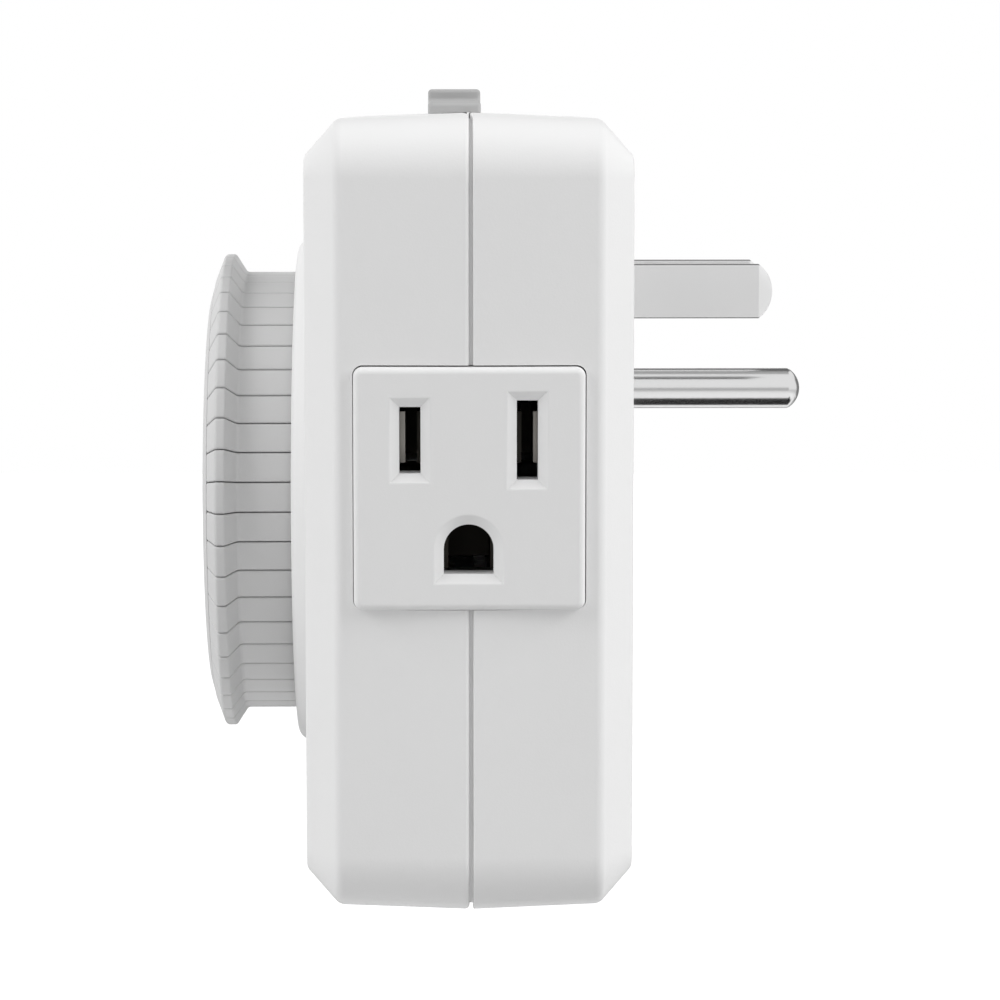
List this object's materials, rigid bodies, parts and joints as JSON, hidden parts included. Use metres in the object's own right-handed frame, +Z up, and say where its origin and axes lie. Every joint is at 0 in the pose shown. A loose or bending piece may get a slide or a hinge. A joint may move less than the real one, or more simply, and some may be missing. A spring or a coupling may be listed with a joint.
{
  "type": "plug in timer switch",
  "caption": "Mechanical plug-in timer with a turning programme dial of push-in trippers, side receptacles and a three-pin plug behind.",
  "frame": {"origin": "the ground pin's axis where it leaves the rear face", "axes": "+Z up, +Y out of the rear face along the plug's pins into the wall socket, so the dial faces -Y; +X towards the right-hand receptacle"},
  "size_m": [0.0896, 0.0712, 0.091],
  "materials": {
    "white_plastic": "fine satin moulding",
    "grey_plastic": "satin moulding",
    "dial_print": "satin, with plain printed numbers",
    "nickel_brass": "nickel plated, polished",
    "brass": "stamped",
    "spring_bronze": "rolled",
    "black_insulation": "moulded",
    "acetal": "natural acetal",
    "plated_steel": "zinc plated",
    "copper_winding": "enamelled wire",
    "ferrite": "sintered",
    "movement_plastic": "glass filled moulding"
  },
  "bodies": {
    "case": {"front_housing": "white_plastic", "rear_housing": "white_plastic", "receptacle_face_right": "white_plastic", "receptacle_face_left": "white_plastic", "housing_screws": "plated_steel", "line_blade": "nickel_brass", "neutral_blade": "nickel_brass", "ground_pin": "nickel_brass", "live_bar": "brass", "neutral_bar": "brass", "ground_bar": "brass", "switch_base": "black_insulation", "fixed_contact": "brass", "motor_stator": "plated_steel", "coil_bobbin": "black_insulation", "coil_winding": "copper_winding", "rear_plate": "movement_plastic", "front_plate": "movement_plastic", "gear_arbors": "plated_steel", "movement_screws": "plated_steel", "dial_post": "plated_steel", "centre_cap": "dial_print"},
    "dial": {"dial_wheel": "grey_plastic", "dial_face": "dial_print"},
    "clutch_output": {"clutch_pinion": "acetal", "clutch_spring": "spring_bronze"},
    "rotor": {"rotor_magnet": "ferrite", "rotor_pinion": "plated_steel"},
    "clutch_input": {"clutch_wheel": "acetal"},
    "follower": {"follower_lever": "acetal"},
    "leaf": {"contact_leaf": "spring_bronze"},
    "slider": {"override_slider": "grey_plastic"},
    "train_1": {"train_wheel_1": "acetal"},
    "train_2": {"train_wheel_2": "acetal"},
    "train_3": {"train_wheel_3": "acetal"},
    "train_4": {"train_wheel_4": "acetal"},
    "hour_00": {"hour_00_trippers": "grey_plastic"},
    "hour_01": {"hour_01_trippers": "grey_plastic"},
    "hour_02": {"hour_02_trippers": "grey_plastic"},
    "hour_03": {"hour_03_trippers": "grey_plastic"},
    "hour_04": {"hour_04_trippers": "grey_plastic"},
    "hour_05": {"hour_05_trippers": "grey_plastic"},
    "hour_06": {"hour_06_trippers": "grey_plastic"},
    "hour_07": {"hour_07_trippers": "grey_plastic"},
    "hour_08": {"hour_08_trippers": "grey_plastic"},
    "hour_09": {"hour_09_trippers": "grey_plastic"},
    "hour_10": {"hour_10_trippers": "grey_plastic"},
    "hour_11": {"hour_11_trippers": "grey_plastic"},
    "hour_12": {"hour_12_trippers": "grey_plastic"},
    "hour_13": {"hour_13_trippers": "grey_plastic"},
    "hour_14": {"hour_14_trippers": "grey_plastic"},
    "hour_15": {"hour_15_trippers": "grey_plastic"},
    "hour_16": {"hour_16_trippers": "grey_plastic"},
    "hour_17": {"hour_17_trippers": "grey_plastic"},
    "hour_18": {"hour_18_trippers": "grey_plastic"},
    "hour_19": {"hour_19_trippers": "grey_plastic"},
    "hour_20": {"hour_20_trippers": "grey_plastic"},
    "hour_21": {"hour_21_trippers": "grey_plastic"},
    "hour_22": {"hour_22_trippers": "grey_plastic"},
    "hour_23": {"hour_23_trippers": "grey_plastic"}
  },
  "joints": [
    {"name": "dial_turn", "type": "hinge", "parent": "case", "child": "dial", "pos_m": [0, -0.02, -0.0121], "axis": [0, 1, 0], "continuous": true},
    {"name": "clutch_output_spin", "type": "hinge", "parent": "case", "child": "clutch_output", "pos_m": [-0.01027, -0.02, -0.032], "axis": [0, 1, 0], "continuous": true},
    {"name": "rotor_spin", "type": "hinge", "parent": "case", "child": "rotor", "pos_m": [0.01508, -0.02, -0.02931], "axis": [0, 1, 0], "continuous": true},
    {"name": "train_1_spin", "type": "hinge", "parent": "case", "child": "train_1", "pos_m": [0.00652, -0.02, -0.02375], "axis": [0, 1, 0], "continuous": true},
    {"name": "train_2_spin", "type": "hinge", "parent": "case", "child": "train_2", "pos_m": [0.00053, -0.02, -0.032], "axis": [0, 1, 0], "continuous": true},
    {"name": "train_3_spin", "type": "hinge", "parent": "case", "child": "train_3", "pos_m": [-0.01027, -0.02, -0.032], "axis": [0, 1, 0], "continuous": true},
    {"name": "train_4_spin", "type": "hinge", "parent": "case", "child": "train_4", "pos_m": [0.00053, -0.02, -0.032], "axis": [0, 1, 0], "continuous": true},
    {"name": "clutch_input_spin", "type": "hinge", "parent": "case", "child": "clutch_input", "pos_m": [-0.01027, -0.02, -0.032], "axis": [0, 1, 0], "continuous": true},
    {"name": "hour_00_slide", "type": "slide", "parent": "dial", "child": "hour_00", "axis": [0, 1, 0], "range_m": [0, 0.003]},
    {"name": "hour_01_slide", "type": "slide", "parent": "dial", "child": "hour_01", "axis": [0, 1, 0], "range_m": [0, 0.003]},
    {"name": "hour_02_slide", "type": "slide", "parent": "dial", "child": "hour_02", "axis": [0, 1, 0], "range_m": [0, 0.003]},
    {"name": "hour_03_slide", "type": "slide", "parent": "dial", "child": "hour_03", "axis": [0, 1, 0], "range_m": [0, 0.003]},
    {"name": "hour_04_slide", "type": "slide", "parent": "dial", "child": "hour_04", "axis": [0, 1, 0], "range_m": [0, 0.003]},
    {"name": "hour_05_slide", "type": "slide", "parent": "dial", "child": "hour_05", "axis": [0, 1, 0], "range_m": [0, 0.003]},
    {"name": "hour_06_slide", "type": "slide", "parent": "dial", "child": "hour_06", "axis": [0, 1, 0], "range_m": [0, 0.003]},
    {"name": "hour_07_slide", "type": "slide", "parent": "dial", "child": "hour_07", "axis": [0, 1, 0], "range_m": [0, 0.003]},
    {"name": "hour_08_slide", "type": "slide", "parent": "dial", "child": "hour_08", "axis": [0, 1, 0], "range_m": [0, 0.003]},
    {"name": "hour_09_slide", "type": "slide", "parent": "dial", "child": "hour_09", "axis": [0, 1, 0], "range_m": [0, 0.003]},
    {"name": "hour_10_slide", "type": "slide", "parent": "dial", "child": "hour_10", "axis": [0, 1, 0], "range_m": [0, 0.003]},
    {"name": "hour_11_slide", "type": "slide", "parent": "dial", "child": "hour_11", "axis": [0, 1, 0], "range_m": [0, 0.003]},
    {"name": "hour_12_slide", "type": "slide", "parent": "dial", "child": "hour_12", "axis": [0, 1, 0], "range_m": [0, 0.003]},
    {"name": "hour_13_slide", "type": "slide", "parent": "dial", "child": "hour_13", "axis": [0, 1, 0], "range_m": [0, 0.003]},
    {"name": "hour_14_slide", "type": "slide", "parent": "dial", "child": "hour_14", "axis": [0, 1, 0], "range_m": [0, 0.003]},
    {"name": "hour_15_slide", "type": "slide", "parent": "dial", "child": "hour_15", "axis": [0, 1, 0], "range_m": [0, 0.003]},
    {"name": "hour_16_slide", "type": "slide", "parent": "dial", "child": "hour_16", "axis": [0, 1, 0], "range_m": [0, 0.003]},
    {"name": "hour_17_slide", "type": "slide", "parent": "dial", "child": "hour_17", "axis": [0, 1, 0], "range_m": [0, 0.003]},
    {"name": "hour_18_slide", "type": "slide", "parent": "dial", "child": "hour_18", "axis": [0, 1, 0], "range_m": [0, 0.003]},
    {"name": "hour_19_slide", "type": "slide", "parent": "dial", "child": "hour_19", "axis": [0, 1, 0], "range_m": [0, 0.003]},
    {"name": "hour_20_slide", "type": "slide", "parent": "dial", "child": "hour_20", "axis": [0, 1, 0], "range_m": [0, 0.003]},
    {"name": "hour_21_slide", "type": "slide", "parent": "dial", "child": "hour_21", "axis": [0, 1, 0], "range_m": [0, 0.003]},
    {"name": "hour_22_slide", "type": "slide", "parent": "dial", "child": "hour_22", "axis": [0, 1, 0], "range_m": [0, 0.003]},
    {"name": "hour_23_slide", "type": "slide", "parent": "dial", "child": "hour_23", "axis": [0, 1, 0], "range_m": [0, 0.003]},
    {"name": "follower_tilt", "type": "hinge", "parent": "case", "child": "follower", "pos_m": [0, -0.028, 0.0225], "axis": [1, 0, 0], "range_deg": [0, 6]},
    {"name": "leaf_flex", "type": "hinge", "parent": "case", "child": "leaf", "pos_m": [0, -0.02435, 0.0085], "axis": [1, 0, 0], "range_deg": [-3.3, 0]},
    {"name": "override_slide", "type": "slide", "parent": "case", "child": "slider", "axis": [1, 0, 0], "range_m": [0, 0.004]}
  ],
  "couplings": [
    {"joint": "clutch_output_spin", "follows": "dial_turn", "ratio": -15},
    {"joint": "train_1_spin", "follows": "rotor_spin", "ratio": -0.13333},
    {"joint": "train_2_spin", "follows": "rotor_spin", "ratio": 0.017778},
    {"joint": "train_3_spin", "follows": "rotor_spin", "ratio": -0.0022222},
    {"joint": "train_4_spin", "follows": "rotor_spin", "ratio": 0.00027778},
    {"joint": "clutch_input_spin", "follows": "rotor_spin", "ratio": -0.000034722},
    {"joint": "leaf_flex", "follows": "follower_tilt", "ratio": -0.55}
  ]
}
